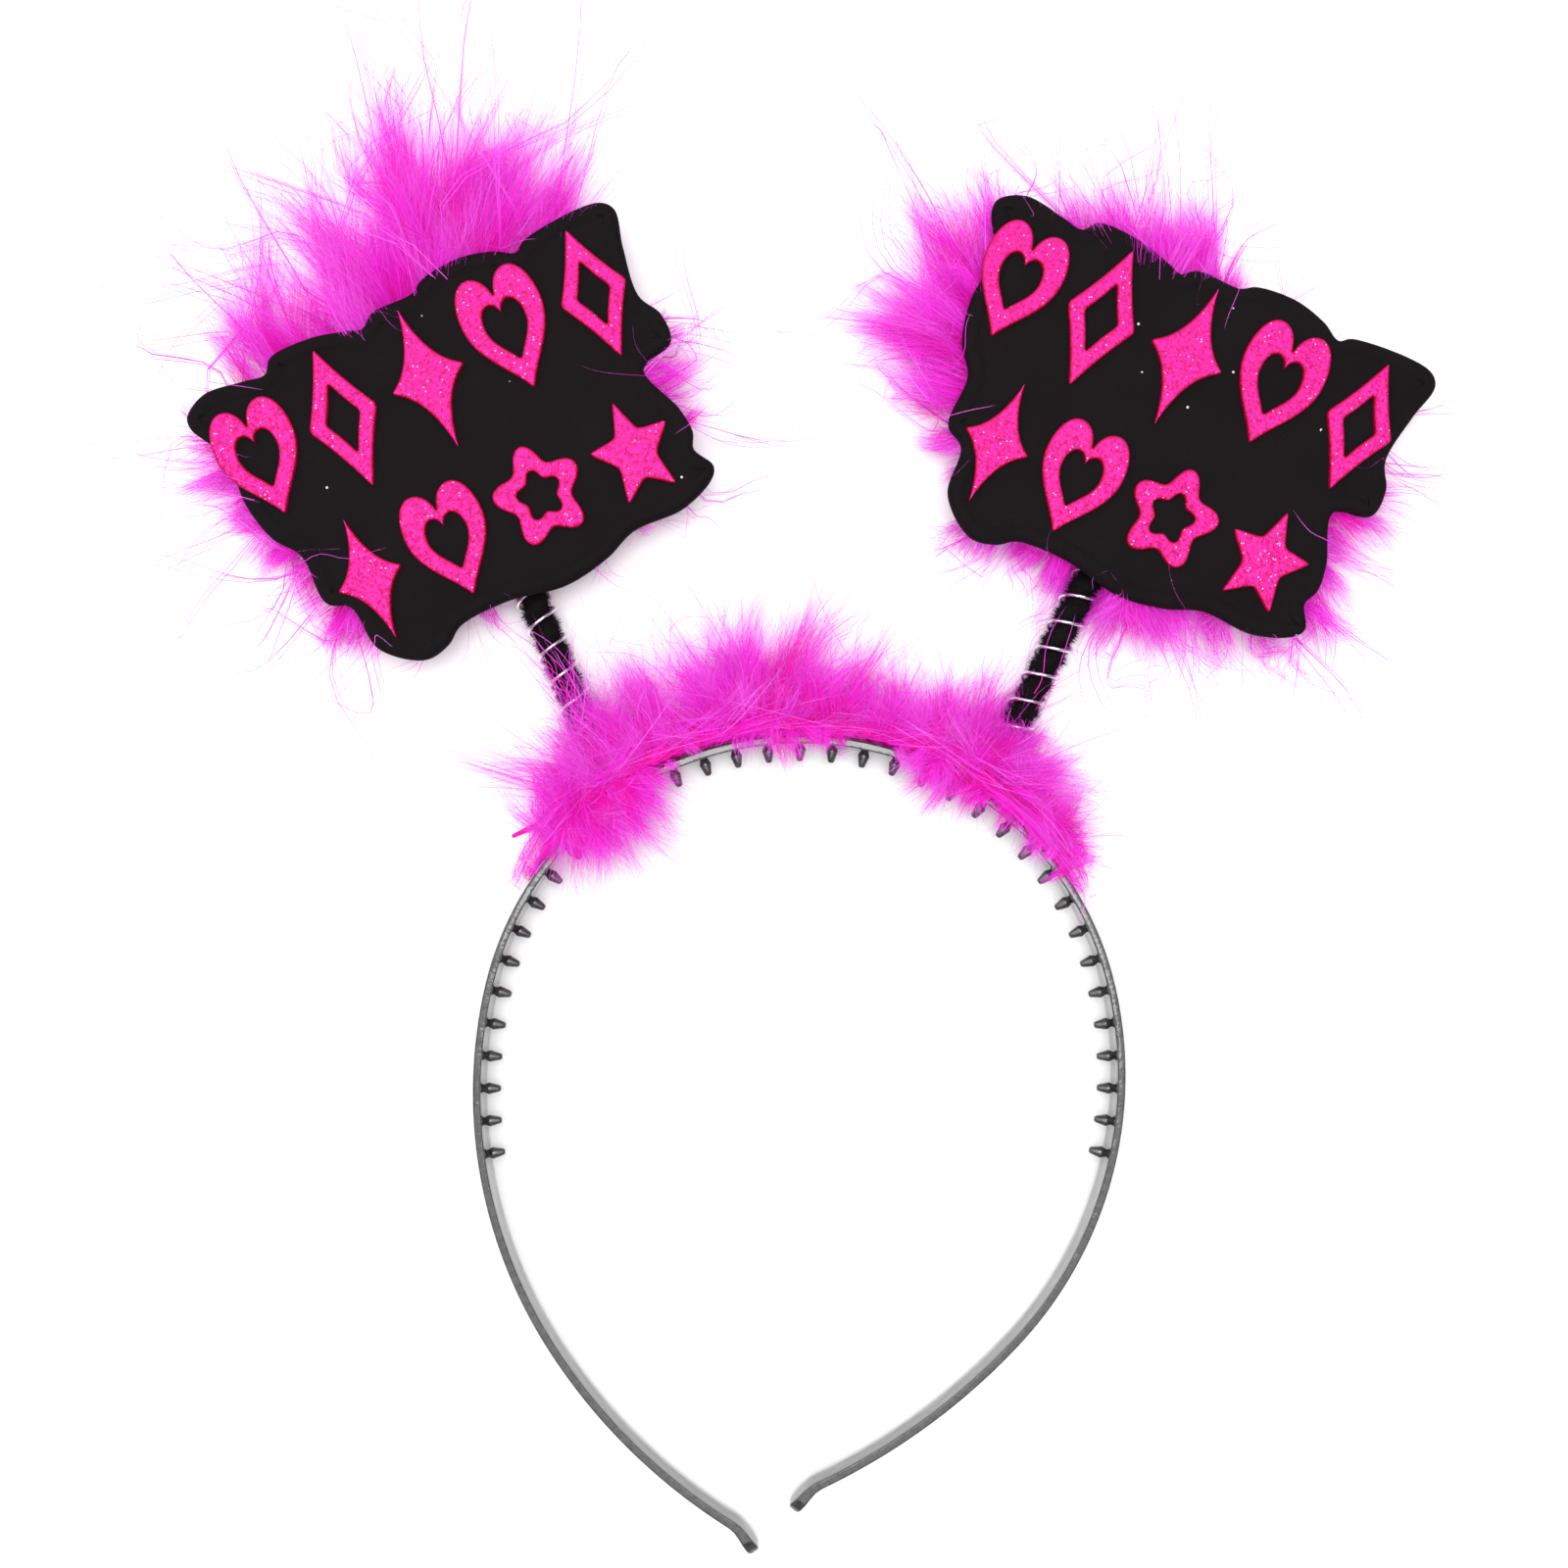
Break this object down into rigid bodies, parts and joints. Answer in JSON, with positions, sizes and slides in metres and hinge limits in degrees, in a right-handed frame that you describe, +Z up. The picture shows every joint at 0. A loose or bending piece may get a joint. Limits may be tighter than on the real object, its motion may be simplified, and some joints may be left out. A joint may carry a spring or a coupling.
{
  "type": "head bopper headband",
  "caption": "Toothed plastic headband trimmed with pink marabou, with two spring stalks carrying black foam boards set with glitter motifs and backed by fluffy plumes.",
  "frame": {"origin": "bottom centre of the whole object's box, as it lies on a flat surface", "axes": "+Z up from the surface that it lies on, +Y from the band's tips towards its crown and the boards, +X to the right seen from above"},
  "size_m": [0.2594, 0.2932, 0.0218],
  "materials": {
    "band_plastic": "glossy moulded, dark grey",
    "foot_plastic": "glossy black",
    "marabou": "fine pink down",
    "foam": "matte foam",
    "glitter": "glitter coated",
    "spring_wire": "bright wire",
    "pile": "short black pile",
    "glue": "clear glue"
  },
  "bodies": {
    "root": {"headband": "band_plastic", "boa_trim": "marabou", "left_board": "foam", "left_heart_1": "glitter", "left_gem_1": "glitter", "left_sparkle_1": "glitter", "left_heart_2": "glitter", "left_gem_2": "glitter", "left_sparkle_2": "glitter", "left_heart_3": "glitter", "left_flower_1": "glitter", "left_star_1": "glitter", "left_spring": "spring_wire", "left_stem": "pile", "left_spring_foot": "foot_plastic", "left_glue_pad": "glue", "left_plume": "marabou", "right_board": "foam", "right_heart_1": "glitter", "right_gem_1": "glitter", "right_sparkle_1": "glitter", "right_heart_2": "glitter", "right_gem_2": "glitter", "right_sparkle_2": "glitter", "right_heart_3": "glitter", "right_flower_1": "glitter", "right_star_1": "glitter", "right_spring": "spring_wire", "right_stem": "pile", "right_spring_foot": "foot_plastic", "right_glue_pad": "glue", "right_plume": "marabou"}
  },
  "joints": []
}
